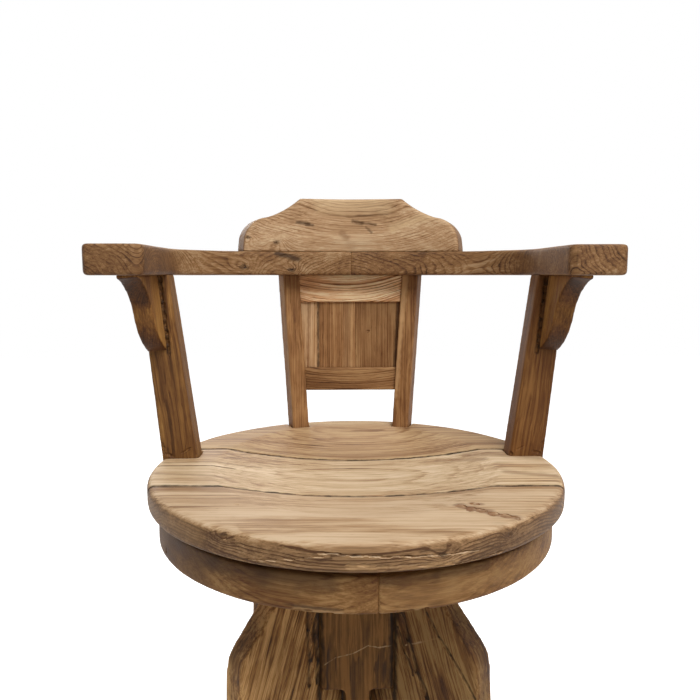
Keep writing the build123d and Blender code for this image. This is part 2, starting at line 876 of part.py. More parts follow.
with BuildPart() as hub:
    with BuildSketch(Plane.XY.offset(hub_bottom)) as hub_plan:
        Rectangle(hub_width, hub_width)
        chamfer(hub_plan.vertices(), hub_corner_face / math.sqrt(2))
    extrude(amount=hub_height)
    for flank in (Plane.XZ, Plane.YZ):
        with BuildSketch(flank):
            with BuildLine():
                for side in sides:
                    Line((side * hub_half, hub_bottom), (side * hub_half, hub_bottom - pendant_straight))
                    RadiusArc(
                        (side * hub_half, hub_bottom - pendant_straight),
                        (side * pendant_end_half, hub_bottom - pendant_drop),
                        side * -(pendant_drop - pendant_straight),
                    )
                Line((-hub_half, hub_bottom), (hub_half, hub_bottom))
                Line((-pendant_end_half, hub_bottom - pendant_drop), (pendant_end_half, hub_bottom - pendant_drop))
            make_face()
        extrude(amount=leg_thickness / 2, both=True)
    with BuildSketch(Plane.XY.offset(drum_bottom)):
        Circle(pocket_radius)
    extrude(amount=-pocket_depth, mode=Mode.SUBTRACT)
    for holes in (deck_screw_holes, leg_peg_holes):
        add(holes.part, mode=Mode.SUBTRACT)
finish(hub, "hub")

# Legs: a slab with a knee below the drum and a nose that steps in under the hub

foot_top = glide_height + foot_toe_height
calf = (calf_radius, drum_bottom - calf_drop)
shin = (shin_radius, drum_bottom - shin_drop)
knee = (knee_radius, drum_bottom - knee_drop)
nose_low = (nose_radius, hub_bottom - nose_height)
foot_inner = (foot_radius - foot_length, glide_height)
inner_middle = (
    (calf[0] + foot_inner[0]) / 2 - leg_inner_sag,
    (calf[1] + foot_inner[1]) / 2,
)



def is_outer(middle):
    """Whether a rim of the leg's broad face lies on the outer profile, between the hub and the foot."""
    across = (middle.X - calf[0]) * (calf[1] - foot_inner[1]) - (calf[1] - middle.Z) * (foot_inner[0] - calf[0])
    between = glide_height + leg_arris < middle.Z < drum_bottom - leg_arris
    return between and across > 0 and middle.X > hub_corner_radius + leg_arris


with BuildPart() as leg:
    with BuildSketch(Plane.XZ) as leg_side:
        with BuildLine():
            Polyline(
                nose_low,
                (nose_radius, hub_bottom),
                (hub_corner_radius, hub_bottom),
                (hub_corner_radius, drum_bottom),
                (hub_corner_radius + leg_head, drum_bottom),
                knee,
                shin,
            )
            TangentArc(shin, (foot_radius, foot_top), tangent=(shin_radius - knee_radius, shin[1] - knee[1]))
            Polyline((foot_radius, foot_top), (foot_radius, glide_height), foot_inner)
            ThreePointArc(foot_inner, inner_middle, calf)
            ThreePointArc(calf, (nose_belly_radius, drum_bottom - nose_belly_drop), nose_low)
        make_face()
        fillet(leg_side.vertices().sort_by(lambda v: abs(v.X - nose_radius) + abs(v.Y - hub_bottom))[0], nose_round)
        fillet(leg_side.vertices().sort_by(lambda v: abs(v.X - knee[0]) + abs(v.Y - knee[1]))[0], knee_round)
    extrude(amount=leg_thickness / 2, both=True)
    outer_rims = [edge for edge in leg.faces().filter_by(Axis.Y).edges() if is_outer(edge.center())]
    fillet(outer_rims, leg_arris)

glide_x = foot_radius - foot_length / 2
foot_rail_end = foot_rail_offset - leg_thickness / 2 * math.sqrt(2)
rail_peg_places = [
    turned_plane(
        side * foot_rail_end,
        -foot_rail_offset,
        foot_rail_middle + foot_rail_peg_shift * (-1) ** step,
        (1, 0),
        step * quarter,
    )
    for step in range(4)
    for side in sides
]
rail_pegs, rail_peg_holes = pegs(middle_peg, foot_rail_peg_length, rail_peg_places)

for node, angle in zip(("back_right", "back_left", "front_left", "front_right"), leg_turns):
    with BuildPart() as placed_leg:
        with Locations(Location((0, 0, 0), (0, 0, angle))):
            add(leg.part)
        add(leg_peg_holes.part, mode=Mode.SUBTRACT)
        add(rail_peg_holes.part, mode=Mode.SUBTRACT)
    finish(placed_leg, f"leg_{node}")
finish(leg_pegs, "leg_dowels")

with BuildPart() as glides:
    for angle in leg_turns:
        with BuildSketch(Plane((*turn(glide_x, 0, angle), 0))):
            Circle(glide_radius)
        extrude(amount=glide_height)
finish(glides, "foot_glides")

# Foot rails: four rails whose ends meet the legs' broad faces

with BuildPart() as foot_rail:
    with BuildSketch(Plane.YZ.offset(-foot_rail_offset)):
        with Locations((-foot_rail_offset, foot_rail_middle)):
            Rectangle(foot_rail_thickness, foot_rail_height)
    extrude(amount=2 * foot_rail_offset)
    fillet(foot_rail.edges().filter_by(Axis.X).group_by(Axis.Z)[-1], foot_rail_arris)
    for side in sides:
        end = (side * foot_rail_offset - side * leg_thickness / math.sqrt(2), -foot_rail_offset, 0)
        split(bisect_by=Plane(end, z_dir=(side, 1, 0)), keep=Keep.BOTTOM)

for step, node in enumerate(("front", "right", "back", "left")):
    with BuildPart() as placed_rail:
        with Locations(Location((0, 0, 0), (0, 0, step * quarter))):
            add(foot_rail.part)
        add(rail_peg_holes.part, mode=Mode.SUBTRACT)
    finish(placed_rail, f"foot_rail_{node}")
finish(rail_pegs, "foot_rail_dowels")
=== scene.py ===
import json
import math
from functools import partial

import bpy
from mathutils import Euler, Matrix, Vector

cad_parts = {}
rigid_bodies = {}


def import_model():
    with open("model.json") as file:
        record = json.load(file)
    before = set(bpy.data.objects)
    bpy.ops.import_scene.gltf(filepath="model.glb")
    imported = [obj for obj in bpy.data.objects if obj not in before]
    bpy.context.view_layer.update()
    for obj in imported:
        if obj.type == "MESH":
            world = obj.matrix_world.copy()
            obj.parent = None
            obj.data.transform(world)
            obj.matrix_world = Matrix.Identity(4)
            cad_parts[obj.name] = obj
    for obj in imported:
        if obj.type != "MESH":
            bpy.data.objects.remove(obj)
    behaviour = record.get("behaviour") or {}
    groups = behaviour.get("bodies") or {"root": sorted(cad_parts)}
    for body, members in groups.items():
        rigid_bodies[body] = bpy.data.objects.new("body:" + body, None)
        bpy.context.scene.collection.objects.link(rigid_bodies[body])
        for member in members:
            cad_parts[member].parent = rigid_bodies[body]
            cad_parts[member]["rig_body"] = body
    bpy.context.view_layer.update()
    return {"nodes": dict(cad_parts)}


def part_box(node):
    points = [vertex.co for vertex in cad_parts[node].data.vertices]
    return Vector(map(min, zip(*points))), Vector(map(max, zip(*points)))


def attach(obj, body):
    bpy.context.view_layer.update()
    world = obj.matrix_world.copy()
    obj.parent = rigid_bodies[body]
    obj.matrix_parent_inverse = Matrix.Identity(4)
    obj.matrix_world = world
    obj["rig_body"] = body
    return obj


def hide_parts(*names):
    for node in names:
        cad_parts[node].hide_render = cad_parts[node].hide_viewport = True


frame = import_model()

MM = 0.001
RIM = 757  # the seat's rim above the floor, mm
SEAT_RADIUS = 250  # mm
DRUM_RADIUS = 240  # mm
WELD = 0.002  # corners of a CAD mesh that are nearer than this are one corner, mm
CUT_GRID = 0.6  # mesh size of the joined cutters, mm
CRISP = math.radians(40)  # an edge sharper than this stays crisp


# Worn copies of the sawn pieces


def take(piece):
    """Makes one piece the only one that operators act on."""
    bpy.ops.object.select_all(action="DESELECT")
    piece.select_set(True)
    bpy.context.view_layer.objects.active = piece


def modify(piece, kind, **settings):
    """Adds a modifier with its settings."""
    modifier = piece.modifiers.new(kind.lower(), kind)
    for key, value in settings.items():
        setattr(modifier, key, value)


def apply_modifiers(piece):
    """Applies every modifier in order."""
    take(piece)
    for modifier in list(piece.modifiers):
        bpy.ops.object.modifier_apply(modifier=modifier.name)


def clouds(name, size, contrast=1.0):
    """A cloudy pattern for modifiers. size is its grain in mm."""
    pattern = bpy.data.textures.new(name, "CLOUDS")
    pattern.noise_scale = size * MM
    pattern.noise_depth = 2
    pattern.contrast = contrast
    return pattern


wear_pattern = clouds("uneven_wear", 22, 3.0)
plane_pattern = clouds("uneven_planing", 55)
torn_pattern = clouds("torn_wood", 5, 2.0)


def scorp(place, size, turn=(0, 0, 0), ragged=0.6):
    """A ragged lens that is later cut out of a piece. place and half sizes in mm, turn in degrees."""
    bpy.ops.object.select_all(action="DESELECT")
    bpy.ops.mesh.primitive_ico_sphere_add(subdivisions=3, radius=1)
    lens = bpy.context.object
    lens.scale = [s * MM for s in size]
    lens.rotation_euler = [math.radians(a) for a in turn]
    lens.location = [v * MM for v in place]
    bpy.ops.object.transform_apply(location=True, rotation=True, scale=True)
    tear = ragged * min(size) * MM
    modify(lens, "DISPLACE", texture=torn_pattern, texture_coords="LOCAL", strength=tear)
    apply_modifiers(lens)
    return lens


def crack(points, width, depth):
    """Lenses end to end along a line of points on a surface. width and depth in mm."""
    lenses = []
    for start, end in zip(points, points[1:]):
        start, end = Vector(start), Vector(end)
        run = end - start
        turn = [math.degrees(a) for a in run.to_track_quat("X", "Z").to_euler()]
        size = (run.length * 0.56, width / 2, depth)  # each lens reaches a little past its points
        lenses.append(scorp((start + end) / 2, size, turn, 0.4))
    return lenses


def rim_tear(radius, across, heights, depth, thick):
    """Lenses side by side along a round front rim, from one place across it to another, all in mm."""
    half, pitch = 7.5, 9  # half a lens's length, and their spacing, mm
    steps = max(2, round(abs(across[1] - across[0]) / pitch))
    lenses = []
    for step in range(steps + 1):
        share = step / steps
        x = across[0] + (across[1] - across[0]) * share
        z = heights[0] + (heights[1] - heights[0]) * share + math.sin(step * 1.9) * thick * 0.35
        place = (x, -math.sqrt(radius**2 - x**2), z)
        wide = depth * (0.8 + 0.35 * math.sin(step * 2.7))
        tall = thick * (0.85 + 0.3 * math.cos(step * 2.3))
        lenses.append(scorp(place, (half, wide, tall), (0, 0, math.degrees(math.asin(x / radius))), 0.7))
    return lenses


def worn(node_name, grid=2.0, wear=16, hollow=0.8, cuts=(), swell=(0, 0, 0), shift=(0, 0, 0)):
    """A copy of a CAD piece with its arrises worn round, its faces hand planed and its flaws cut out.

    grid is the mesh size and hollow the deepest planing, in mm. wear is the rounds of sanding.
    swell and shift, in mm, let its ends into the pieces that it meets, so no light shows through a joint.
    """
    source = frame["nodes"][node_name]
    piece = bpy.data.objects.new(f"worn_{node_name}", source.data.copy())
    bpy.context.scene.collection.objects.link(piece)
    take(piece)
    bpy.ops.object.mode_set(mode="EDIT")
    bpy.ops.mesh.select_all(action="SELECT")
    bpy.ops.mesh.remove_doubles(threshold=WELD * MM)
    bpy.ops.object.mode_set(mode="OBJECT")
    low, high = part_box(node_name)
    centre = (low + high) / 2
    grow = Matrix.Diagonal((*(1 + 2 * s * MM / side for s, side in zip(swell, high - low)), 1))
    move = Matrix.Translation(centre + Vector(shift) * MM)
    piece.data.transform(move @ grow @ Matrix.Translation(-centre))
    # A light sanding all over, then a stronger one in cloudy patches, and last the hollows of the plane
    piece.vertex_groups.new(name="worn")
    modify(piece, "REMESH", mode="VOXEL", voxel_size=grid * 1 * MM)
    modify(piece, "SMOOTH", factor=0.5, iterations=3)
    modify(
        piece, "VERTEX_WEIGHT_EDIT", vertex_group="worn", default_weight=1.0, use_add=True, add_threshold=0.0,
        mask_texture=wear_pattern, mask_tex_mapping="LOCAL", mask_tex_use_channel="INT",
    )
    modify(piece, "SMOOTH", factor=0.5, iterations=wear, vertex_group="worn")
    modify(
        piece, "DISPLACE", texture=plane_pattern, texture_coords="LOCAL", mid_level=1.0, strength=hollow * MM
    )
    apply_modifiers(piece)
    if cuts:
        take(cuts[0])
        for lens in cuts:
            lens.select_set(True)
        if len(cuts) > 1:
            bpy.ops.object.join()
        cutter = bpy.context.object
        modify(cutter, "REMESH", mode="VOXEL", voxel_size=CUT_GRID * MM)
        apply_modifiers(cutter)
        modify(piece, "BOOLEAN", operation="DIFFERENCE", object=cutter, solver="MANIFOLD")
        apply_modifiers(piece)
        bpy.data.objects.remove(cutter)
    take(piece)
    bpy.ops.object.shade_smooth_by_angle(angle=CRISP)
    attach(piece, source["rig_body"])
    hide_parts(node_name)


def inward(node_name, distance):
    """A shift, mm, that brings a piece that stands round the middle closer to it."""
    low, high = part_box(node_name)
    return -((low + high) / 2).to_2d().normalized().to_3d() * distance


# The seat: knot holes, a torn front rim, a patch of pits at the right and a split at the left
seat_cuts = {
    "front": [
        scorp((-132, -213.5, 751), (7, 2, 4)),
        scorp((139.6, -208.5, 748), (3, 2.2, 3)),
        scorp((69.7, -241.5, 742.5), (6, 2.5, 3), (0, 0, 16)),
        scorp((-127, -144, 757.4), (5, 2, 1.3), (0, 0, -30)),
        *rim_tear(SEAT_RADIUS, (-36, 100), (748.5, 741), 2.6, 1.5),
        *rim_tear(SEAT_RADIUS, (-12, 86), (737, 733), 1.5, 3.6),
        *rim_tear(SEAT_RADIUS, (-112, -34), (733, 746), 1.8, 1.2),
        *rim_tear(SEAT_RADIUS, (60, 128), (731, 733), 2.2, 1.6),
    ],
    "middle": [
        *crack([(-246, -4, 757), (-215, -4.5, 756.6), (-180, -4, 755.4), (-147, -3.4, 752.4)], 2.4, 3.5),
        scorp((150, 6, 753.5), (10, 3, 2.0), (0, 0, 12)),
        scorp((122, 40, 748.8), (8, 2.4, 1.6), (0, 0, -14)),
        scorp((-222.7, -54.4, 757.6), (4, 2, 1.2)),
    ],
    "rear": [scorp((150, 128, 757.5), (6, 2, 1.2), (0, 0, 25))],
}
for x, y, long, wide in (
    (102, -156, 6, 6), (111, -165, 5, 8), (120, -169, 7, 6), (118, -150, 5, 5), (130, -178, 6, 7),
    (141, -184, 7, 6), (150, -189, 4, 5),
):
    seat_cuts["front"].append(scorp((x, y, RIM), (long, wide, 2.4), (0, 0, -25), 0.9))
for name, cuts in seat_cuts.items():
    worn(f"seat_plank_{name}", grid=1.9, wear=12, cuts=cuts)

# The crest and the arm bow: short splits and knot holes, and the open end of the right arm's joint
crest_cuts = [
    scorp((-67, 174.5, 1064.5), (11, 2.2, 1.8), (0, 8, 10)),
    scorp((10, 180, 1067), (8, 2.0, 3.0), (0, 10, 0)),
    scorp((26, 179.6, 1065), (9, 1.6, 1.6), (0, 12, 0)),
    scorp((26, 179, 1056), (5, 1.6, 2.6), (0, 40, 0)),
    scorp((-148, 155, 1044.5), (2.4, 2, 2)),
    scorp((-109.5, 166.8, 1037.4), (2.6, 2, 2)),
]
worn("crest", grid=1.5, wear=14, cuts=crest_cuts, shift=(0, 0, -1.2))
left_bow_cuts = [
    scorp((-92, 167.5, 1019), (15, 1.8, 3), (0, -6, 11)),
    scorp((-100, 165.5, 1013), (8, 1.6, 1.6), (0, 12, 11)),
    scorp((-154, 149.6, 1002), (4, 1.8, 3), (0, 0, 20)),
    scorp((-86.7, 168.8, 998), (3, 1.6, 2)),
    scorp((-231, 112.6, 1000), (5, 1.8, 4), (0, 40, 30)),
]
right_bow_cuts = [
    *crack([(239, -83, 1026), (240.5, -83, 1008), (239, -83, 990)], 1.0, 2.0),
    scorp((205, 124.5, 1020), (10, 1.4, 1.6), (0, 6, -27)),
]
worn("arm_rail_left", grid=1.6, wear=14, hollow=0.7, cuts=left_bow_cuts, shift=(1.2, 0, 0))
worn("arm_rail_right", grid=1.6, wear=14, hollow=0.7, cuts=right_bow_cuts, shift=(-1.2, 0, 0))

# Posts and corbels: chipped feet, and a ragged crevice up the arm post behind the corbel's inner edge
for side, name in ((1, "right"), (-1, "left")):
    foot = Vector((224.5 * side, 31.5, RIM))
    post_cuts = [
        scorp(foot + Vector((side * across, 0, rise)), size, turn)
        for across, rise, size, turn in (
            (-22, 2, (5, 3, 4), (0, 0, 30)),
            (14, 3, (8, 1.6, 3), (0, 20, 0)),
            (-8, 9, (9, 1.3, 2), (0, -30, 0)),
            (22, 12, (3, 3, 9), (0, 7 * side, 0)),
        )
    ]
    for step in range(9):
        rise = 5 + 11 * step
        place = (side * (234.5 + rise * 0.097), 31.8, 891 + rise)
        size = (2.2 + 1.2 * math.sin(step * 2.1) ** 2, 3.0, 7.5)
        post_cuts.append(scorp(place, size, (0, 6 * side, 0), 0.9))
    worn(f"arm_post_{name}", grid=1.4, cuts=post_cuts, swell=(0, 0, 2))
    worn(f"back_post_{name}", grid=1.4, wear=18, swell=(0, 0, 2))
    worn(f"arm_corbel_{name}", grid=1.3, hollow=0.7, shift=(0, 1.6, 1.6))

# The back frame: long drying splits in both rails and the sapwood board, and one chip
rail_cuts = [
    *crack([(-70, 209.3, 955), (-30, 209.3, 953.5), (10, 209.3, 952.5), (68, 209.3, 953.5)], 2.8, 1.8),
    *crack([(-60, 209.3, 966), (-10, 209.3, 960), (50, 209.3, 963)], 1.3, 1.2),
]
low_cuts = crack([(-60, 209.3, 833), (-20, 209.3, 826), (20, 209.3, 826), (60, 209.3, 834)], 1.8, 1.4)
sap_cuts = crack([(-52.5, 215.5, 955), (-53.5, 215.5, 925), (-52, 215.5, 890), (-53, 215.5, 844)], 1.8, 1.8)
chip = [scorp((27.5, 215.4, 904), (3, 1.6, 2.2))]
worn("back_top_rail", grid=1.3, wear=12, hollow=0.6, cuts=rail_cuts, swell=(1.5, 0, 1.8))
worn("back_bottom_rail", grid=1.3, wear=12, hollow=0.6, cuts=low_cuts, swell=(1.5, 0, 0))
worn("back_panel_left", grid=1.2, wear=8, hollow=0.4, cuts=sap_cuts, swell=(1.5, 0, 1.5))
worn("back_panel_middle", grid=1.4, wear=4, hollow=0.3, swell=(1.8, 0, 1.5), shift=(0.6, 0, 0))
worn("back_panel_right", grid=1.4, wear=4, hollow=0.3, swell=(1.8, 0, 1.5), cuts=chip)

# The drum: torn lower edge at both sides of the front joint, and a knot hole at the left
drum_cuts = {
    1: rim_tear(DRUM_RADIUS - 1, (33, 56), (685.5, 685.5), 5, 3.4),
    4: [
        scorp((-212, -115, 695), (5, 5, 6)),
        *rim_tear(DRUM_RADIUS - 1, (-62, -24), (686.5, 685), 5, 2.8),
    ],
}
for step in range(1, 5):
    name = f"drum_segment_{step}"
    worn(name, grid=1.6, cuts=drum_cuts.get(step, ()), shift=inward(name, 1.3))

# The base: each leg's long splits as (points, width, depth)
leg_splits = {
    "front_left": [
        (
            [(-56.3, -76.3, 608.6), (-57.4, -77.4, 579.9), (-55.4, -75.4, 541.5), (-56.6, -76.6, 510.9)],
            4.5, 6,
        ),
        (
            [(-48.3, -68.3, 594.4), (-50.3, -70.3, 570.7), (-46.3, -66.3, 535.6), (-47.8, -67.8, 508.8)],
            3.5, 5,
        ),
    ],
    "front_right": [
        ([(52.2, -72.2, 597.4), (59.8, -79.8, 567), (68.5, -88.5, 532.6), (79.9, -99.9, 508)], 5, 6),
        ([(48.1, -68.1, 577.8), (55.8, -75.8, 549.8), (64.4, -84.4, 527.6)], 2.6, 4),
        (
            [(77.7, -97.7, 610.8), (89.7, -109.7, 588.8), (101.3, -121.3, 574.3), (123.9, -143.9, 537.4)],
            2.6, 3,
        ),
    ],
    "back_left": [],
    "back_right": [],
}
for side, splits in leg_splits.items():
    lenses = [lens for points, width, depth in splits for lens in crack(points, width, depth)]
    name = f"leg_{side}"
    worn(name, grid=2.2, wear=18, hollow=1.2, cuts=lenses, shift=inward(name, 2))
worn("hub", hollow=1.2)
for side in ("front", "right", "back", "left"):
    ends = (1.5, 0, 0) if side in ("front", "back") else (0, 1.5, 0)
    worn(f"foot_rail_{side}", hollow=1.0, swell=ends)


# Materials


def linear(hex_colour):
    """An sRGB hex colour as the linear RGBA that a shader takes."""
    channels = [int(hex_colour[i : i + 2], 16) / 255 for i in (0, 2, 4)]
    values = [c / 12.92 if c <= 0.04045 else ((c + 0.055) / 1.055) ** 2.4 for c in channels]
    return (*values, 1.0)


def node(tree, kind, *values, out=0, stops=(), **settings):
    """Adds a node with its settings and links, and gives back one of its outputs.

    values are links or plain values for its inputs in order, or a dict of them by name. stops are a
    colour ramp's (position, hex colour) pairs.
    """
    new = tree.nodes.new(f"ShaderNode{kind}")
    for key, value in settings.items():
        setattr(new, key, value)
    inputs = {}
    for number, value in enumerate(values):
        inputs.update(value if isinstance(value, dict) else {number: value})
    for key, value in inputs.items():
        if isinstance(value, bpy.types.NodeSocket):
            tree.links.new(value, new.inputs[key])
        else:
            new.inputs[key].default_value = value
    if stops:
        elements = new.color_ramp.elements
        while len(elements) < len(stops):
            elements.new(0.5)
        for element, (position, colour) in zip(elements, stops):
            element.position = position
            element.color = linear(colour)
    return new.outputs[out] if new.outputs else None


def blank(name):
    """A new material with no nodes yet, and the function that adds them to it."""
    material = bpy.data.materials.new(name)
    material.use_nodes = True
    material.node_tree.nodes.clear()
    return material, partial(node, material.node_tree)


TONE_STOPS = (0.0, 0.33, 0.66, 1.0)  # where a board's four tones stand on its colour ramp
SOFT = {"interpolation_type": "SMOOTHSTEP"}  # lets a Map Range ease in and out


def teak(
    name, tones, grain=(0, 0, 0), pith=(0, 0, 0), ring=3.0, wave=6.0, sag=0.0, lines=0.5, bands=1.0,
    streak=1.0, patch=1.0, knots=(), marks=(), end=0.4, painted_side_shade=0.0, under=0.0, stretch=1.0,
):
    """Weathered sawn teak with growth rings about a pith line that runs along the board.

    To the eye it is dry and nearly matt. The late wood draws thin dark lines, the fibres draw fine streaks,
    age draws cloudy patches, knots, stains and dirt are darker, and painted shade darkens its sides and
    undersides. Its IOR is 1.45 and its open, sanded face is rough, so its sheen is faint and even.

    tones: pale to dark hex colours, then the knots' colour. grain: degrees that turn X to the length.
    pith: a point on the pith line, mm. ring: ring width, mm. wave: how far the rings wander, mm.
    sag: how far the rings bend down at 100 mm from the pith point, mm. stretch: how much longer than
    usual the figure is along the board. lines, bands, streak and patch: the strength of the late wood's
    lines, the groups of rings, the fibres and the clouds. knots: (x, y, z, radius), mm. marks: (start,
    end, radius, colour, strength), mm; one whose points have no height runs right through the board.
    end, then the sides' and the undersides' shade: how much darker the end grain has become, and how much
    painted shade darkens the sides and the undersides.
    """
    material, put = blank(name)
    turn = Euler([math.radians(a) for a in grain])
    place = put("TexCoord", out="Object")
    facing = put("TexCoord", out="Normal")
    upward = put("SeparateXYZ", facing, out="Z")
    board = put(
        "Mapping",
        {"Vector": place, "Location": [v * MM for v in pith], "Rotation": turn, "Scale": (MM, MM, MM)},
        vector_type="TEXTURE",
    )

    def figure(source, long, wide, detail, rough=0.5, out="Fac"):
        """A cloudy figure drawn out along the board. long and wide are its size in mm."""
        spot = put("VectorMath", source, (1 / long, 1 / wide, 1 / wide), operation="MULTIPLY")
        return put("TexNoise", {"Vector": spot, "Scale": 1.0, "Detail": detail, "Roughness": rough}, out=out)

    # The rings wander along the board, ripple over a thumb's width and shiver with the fibres
    swings = []
    for long, wide, detail, reach in (
        (240 * stretch, 90, 2, 3 * wave),
        (95 * stretch, 16, 3, wave),
        (34, 6, 2, 1.2),
    ):
        swing = figure(board, long, wide, detail, out="Color")
        swing = put("VectorMath", swing, (0.5, 0.5, 0.5), operation="SUBTRACT")
        swings.append(put("VectorMath", swing, (0, reach, reach), operation="MULTIPLY"))
    wander, ripple, shiver = swings
    bent = put("VectorMath", put("VectorMath", board, wander, operation="ADD"), ripple, operation="ADD")
    if sag:
        run = put("SeparateXYZ", board, out="X")
        drop = put("Math", put("Math", run, run, operation="MULTIPLY"), sag / 100**2, operation="MULTIPLY")
        bent = put("VectorMath", bent, put("CombineXYZ", {"Z": drop}), operation="ADD")
    fibres = put("VectorMath", bent, shiver, operation="ADD")
    outward = put("VectorMath", fibres, (0, 1, 1), operation="MULTIPLY")
    radius = put("VectorMath", outward, operation="LENGTH", out="Value")

    # A knot is long along the grain. The rings swell round it, its rim is soft and its heart is dark
    knot_dark = 0.0
    shaken = put("VectorMath", board, shiver, operation="ADD")
    for x, y, z, size in knots:
        middle = turn.to_matrix().transposed() @ (Vector((x, y, z)) - Vector(pith))
        offset = put("VectorMath", shaken, middle, operation="SUBTRACT")
        offset = put("VectorMath", offset, (0.6, 1, 1), operation="MULTIPLY")
        distance = put("VectorMath", offset, operation="LENGTH", out="Value")
        near = put("Math", put("Math", distance, size * 2.5, operation="DIVIDE"), 2.0, operation="POWER")
        swell = put("Math", put("Math", near, -1.0, operation="MULTIPLY"), operation="EXPONENT")
        radius = put("Math", swell, size * 2.5, radius, operation="MULTIPLY_ADD")
        ragged = put("Math", figure(board, 5, 2.5, 3), 0.5, operation="SUBTRACT")
        ragged = put("Math", ragged, size * 1.6, distance, operation="MULTIPLY_ADD")
        rim = put("MapRange", ragged, size * 0.75, size, 0.47, 0.0, **SOFT)
        heart = put("MapRange", ragged, size * 0.3, size * 0.5, 0.38, 0.0, **SOFT)
        knot_dark = put("Math", put("Math", rim, heart, operation="ADD"), knot_dark, operation="MAXIMUM")

    # Each ring's width varies; its line rises slowly through the late wood and ends sharply
    from_pith = put("CombineXYZ", radius, pith[0] + 0.5)
    uneven = figure(from_pith, ring * 3.5, 1, 2)
    band = figure(from_pith, 15, 1, 3, 0.65)
    turns = put("Math", uneven, 3.0, put("Math", radius, ring, operation="DIVIDE"), operation="MULTIPLY_ADD")
    rise = put("Math", turns, operation="FRACT")
    late = put("MapRange", rise, 0.5, 0.88, **SOFT)
    early = put("MapRange", rise, 0.92, 1.0, 1.0, 0.0, **SOFT)
    clear = put("MapRange", figure(board, 120, 20, 2), 0.32, 0.7, 0.2, 1.0, **SOFT)
    line = put("Math", put("Math", late, early, operation="MULTIPLY"), clear, operation="MULTIPLY")

    # Real fibres and pores are about 0.1 and 0.25 mm wide, too fine to show. Here fibres are 0.9 mm wide, in
    # bundles of 3.2 mm, and pores 1.1 mm
    fine = figure(fibres, 80, 0.9, 2)
    pore = put("MapRange", figure(fibres, 12, 1.1, 1), 0.64, 0.76, **SOFT)
    parts = (
        (band, bands),
        (figure(fibres, 330, 3.2, 4, 0.55), streak),
        (fine, 0.7 * streak),
        (figure(board, 170 * stretch, 60, 4, 0.6), 1.1 * patch),  # broad weathering
        (figure(board, 45 * stretch, 24, 4, 0.6), 0.5 * patch),  # its smaller clouds
    )
    tone = 0.3 - 0.5 * sum(weight for part, weight in parts)  # each figure swings about a half
    for part, weight in (*parts, (line, 0.5 * lines), (pore, 0.2)):
        tone = put("Math", part, weight, tone, operation="MULTIPLY_ADD")

    # Sides take painted shade and end grain is darker, both calmer apart from the rings, and undersides take
    # painted shade
    if painted_side_shade:
        calm = put("MapRange", upward, 0.35, 0.9, 0.5, 1.0, **SOFT)
        side = put("MapRange", upward, 0.35, 0.9, 1.0, 0.0, **SOFT)
        bold = put("Math", band, 0.18 * bands, painted_side_shade - 0.09 * bands, operation="MULTIPLY_ADD")
        bold = put("Math", line, 0.3, bold, operation="MULTIPLY_ADD")
        bold = put("Math", side, bold, operation="MULTIPLY")
        tone = put("Math", tone, calm, bold, operation="MULTIPLY_ADD")
    # painted shade on the faces that look down
    if under:
        shade_below = put("MapRange", upward, -0.05, -0.7, 0.0, under, **SOFT)
        tone = put("Math", tone, shade_below, operation="ADD")
    if end:
        turned = put(
            "VectorRotate", {"Vector": facing, "Rotation": turn}, rotation_type="EULER_XYZ", invert=True
        )
        across = put("Math", put("SeparateXYZ", turned, out="X"), operation="ABSOLUTE")
        calm = put("MapRange", across, 0.25, 0.95, 1.0, 1.0 - end, **SOFT)
        soaked = put("MapRange", across, 0.25, 0.95, 0.0, 1.3 * end, **SOFT)
        tone = put("Math", tone, calm, soaked, operation="MULTIPLY_ADD")

    colour = put("ValToRGB", tone, stops=tuple(zip(TONE_STOPS, tones)), out="Color")
    if knots:
        layers = {"Factor": knot_dark, "A": colour, "B": linear(tones[-1])}
        colour = put("Mix", layers, data_type="RGBA", out="Result")
    wobbled = put("VectorMath", shiver, (0, MM, MM), place, operation="MULTIPLY_ADD")
    for start, finish, size, tint, force in marks:
        first, last = (Vector(point).to_3d() * MM for point in (start, finish))
        run = last - first
        kept = (1, 1, len(start) - 2)  # a mark whose points have no height takes none from the surface
        offset = put("VectorMath", wobbled, kept, operation="MULTIPLY")
        offset = put("VectorMath", offset, first, operation="SUBTRACT")
        share = put("VectorMath", offset, run, operation="DOT_PRODUCT", out="Value")
        share = put("Math", share, run.length_squared, operation="DIVIDE", use_clamp=True)
        foot = put("VectorMath", run, {"Scale": share}, operation="SCALE")
        apart = put("VectorMath", offset, foot, operation="DISTANCE", out="Value")
        ragged = figure(board, 5 + size, 2 + size / 2, 3)
        ragged = put("Math", ragged, 1.1 * size * MM, apart, operation="MULTIPLY_ADD")
        near = put("MapRange", ragged, 0.7 * size * MM, 1.7 * size * MM, force, 0.0, **SOFT)
        layers = {"Factor": near, "A": colour, "B": linear(tint)}
        colour = put("Mix", layers, data_type="RGBA", out="Result")

    # Late wood and fibres stand proud by a fraction of a millimetre, and the pores are sunk
    height = put("Math", line, 0.5, operation="MULTIPLY")
    for part, weight in ((fine, 0.98 * streak), (pore, -0.9)):
        height = put("Math", part, weight, height, operation="MULTIPLY_ADD")
    bump = put("Bump", {"Height": height, "Strength": 0.6, "Distance": 0.5 * MM})
    rough = put("MapRange", tone, {"To Min": 0.66, "To Max": 0.54})
    shader = put(
        "BsdfPrincipled",
        {"Base Color": colour, "Roughness": rough, "IOR": 1.45, "Specular IOR Level": 0.2, "Normal": bump},
    )
    put("OutputMaterial", {"Surface": shader})
    return material


MOTTLE = 6.25  # size of a made surface's clouds, mm


